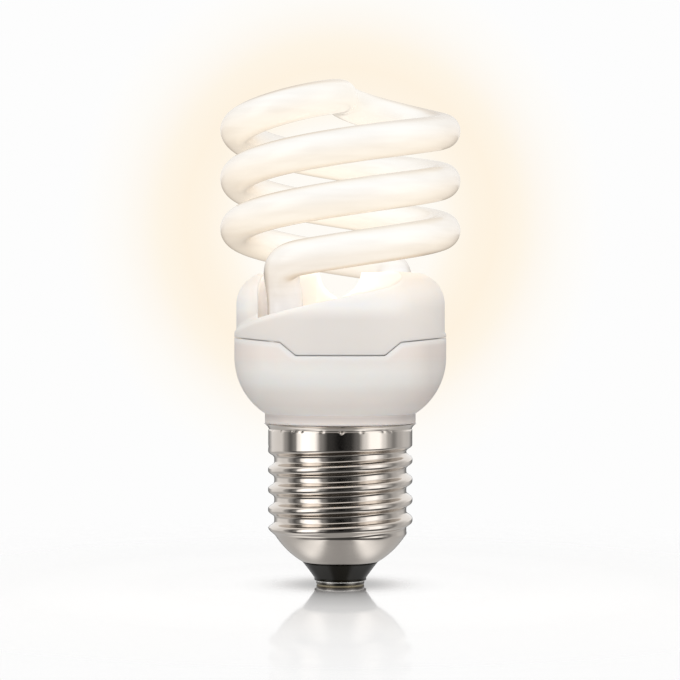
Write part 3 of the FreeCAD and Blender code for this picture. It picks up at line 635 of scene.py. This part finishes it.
# Warm glow on the backdrop, by the tangent of the angle from the middle of the coil
COIL_RISE = 0.0568
LEAST_FORWARD = 0.05
HALO_REACH = 0.15
HALO = [(0.0, (0.5, 0.485, 0.46)), (0.0471, (0.5, 0.485, 0.455)), (0.0575, (0.5, 0.465, 0.41)),
        (0.0674, (0.496, 0.451, 0.385)), (0.0769, (0.496, 0.447, 0.377)), (0.0893, (0.496, 0.459, 0.40)),
        (0.0992, (0.496, 0.472, 0.437)), (0.1101, (0.496, 0.485, 0.465)), (0.1240, (0.495, 0.491, 0.484)),
        (0.1329, (0.491, 0.491, 0.491))]


def mirrored_room(tree, x, y, z):
    # the band of soft boxes, a bright ceiling, a dark floor in front and a pale one behind and right below
    turn = tree.math("ARCTAN2", x, tree.math("MULTIPLY", y, -1.0))
    stops = [(angle, grey(light / ROOM_LIGHT)) for angle, light in STUDIO]
    band = tree.ramp_over(turn, -180, 180, stops, DEGREE, "EASE")
    room = tree.mix(tree.fade(z, TO_CEILING, kind="SMOOTHSTEP"), band, CEILING)
    room = tree.mix(tree.fade(z, TO_FLOOR, kind="SMOOTHSTEP"), room, tree.fade(y, FLOOR_BEHIND))
    under = tree.ramp(tree.math("ABSOLUTE", x), UNDER, "EASE")
    room = tree.mix(tree.fade(z, TO_UNDER, kind="SMOOTHSTEP"), room, under)
    far_back = tree.both(tree.fade(y, BACKDROP_FORWARD), tree.fade(z, BACKDROP_UPWARD))
    return tree.mix(far_back, room, BACKDROP)


def lit_backdrop(tree, x, y, z):
    forward = tree.math("MAXIMUM", y, LEAST_FORWARD)
    across = tree.math("DIVIDE", x, forward)
    over = tree.math("SUBTRACT", tree.math("DIVIDE", z, forward), COIL_RISE)
    return tree.ramp_over(tree.length_of(across, over), 0, HALO_REACH, HALO)


def studio():
    made = bpy.data.worlds.new("studio")
    made.use_nodes = True
    tree = Tree(made.node_tree)
    x, y, z = tree.axes(tree.add("ShaderNodeTexCoord").outputs["Generated"])
    front, back = (tree.ramp_over(z, -1, 1, stops) for stops in (SOFT_FRONT, SOFT_BACK))
    soft = tree.mix(tree.fade(y, SOFT_TURN), front, back)
    path = tree.add("ShaderNodeLightPath")
    room = tree.mix(path.outputs["Is Glossy Ray"], soft, mirrored_room(tree, x, y, z))
    seen = tree.mix(path.outputs["Is Camera Ray"], room, lit_backdrop(tree, x, y, z))
    background = made.node_tree.nodes["Background"]
    tree.put(background.inputs["Color"], seen)
    background.inputs["Strength"].default_value = ROOM_LIGHT
    return made


scene.world = studio()

# Soft light from the front, and the light of the lit tube on the cover, in metres and watts
FRONT_PLACE, FRONT_TARGET = Vector((-0.06, -0.64, 0.12)), Vector((0, 0, 0.04))
FRONT_SIZE, FRONT_RADIANCE = 0.5, 0.40
TUBE_LIGHTS = (("coil_light", (0, 0, 0.066), 0.0085), ("left_glow", (-0.034, -0.026, 0.072), 0.011),
               ("right_glow", (0.034, -0.026, 0.072), 0.012))
TUBE_LIGHT_R = 0.007
TUBE_WARMTH = (1.0, 0.89, 0.76)


def add_light(data, place):
    lamp = bpy.data.objects.new(data.name, data)
    lamp.location = place
    lamp.visible_camera = False
    lamp.visible_glossy = False
    scene.collection.objects.link(lamp)
    return lamp


soft_box = bpy.data.lights.new("front_light", "AREA")
soft_box.size = FRONT_SIZE
soft_box.energy = FRONT_RADIANCE * pi * FRONT_SIZE ** 2
front_light = add_light(soft_box, FRONT_PLACE)
front_light.rotation_euler = (FRONT_TARGET - FRONT_PLACE).to_track_quat("-Z", "Y").to_euler()

for name, place, energy in TUBE_LIGHTS:
    warm = bpy.data.lights.new(name, "POINT")
    warm.energy = energy
    warm.color = TUBE_WARMTH
    warm.shadow_soft_size = TUBE_LIGHT_R
    add_light(warm, place)

# Camera at about half the lamp's height, with its shift in pixels of the picture
CAMERA_PLACE = (0.0, -0.370, 0.0454)
PICTURE_WIDTH = 680
SHIFT_RIGHT, SHIFT_UP = -0.3, -3.5
camera_data = bpy.data.cameras.new("camera")
camera_data.sensor_width = 36.0
camera_data.lens = 106.8
camera_data.clip_start = 0.01
camera_data.clip_end = 50.0
camera_data.shift_x = SHIFT_RIGHT / PICTURE_WIDTH
camera_data.shift_y = SHIFT_UP / PICTURE_WIDTH
camera = bpy.data.objects.new("camera", camera_data)
camera.location = CAMERA_PLACE
camera.rotation_euler = (pi / 2, 0, 0)
scene.collection.objects.link(camera)
scene.camera = camera

scene.view_settings.view_transform = "Standard"
scene.view_settings.look = "None"
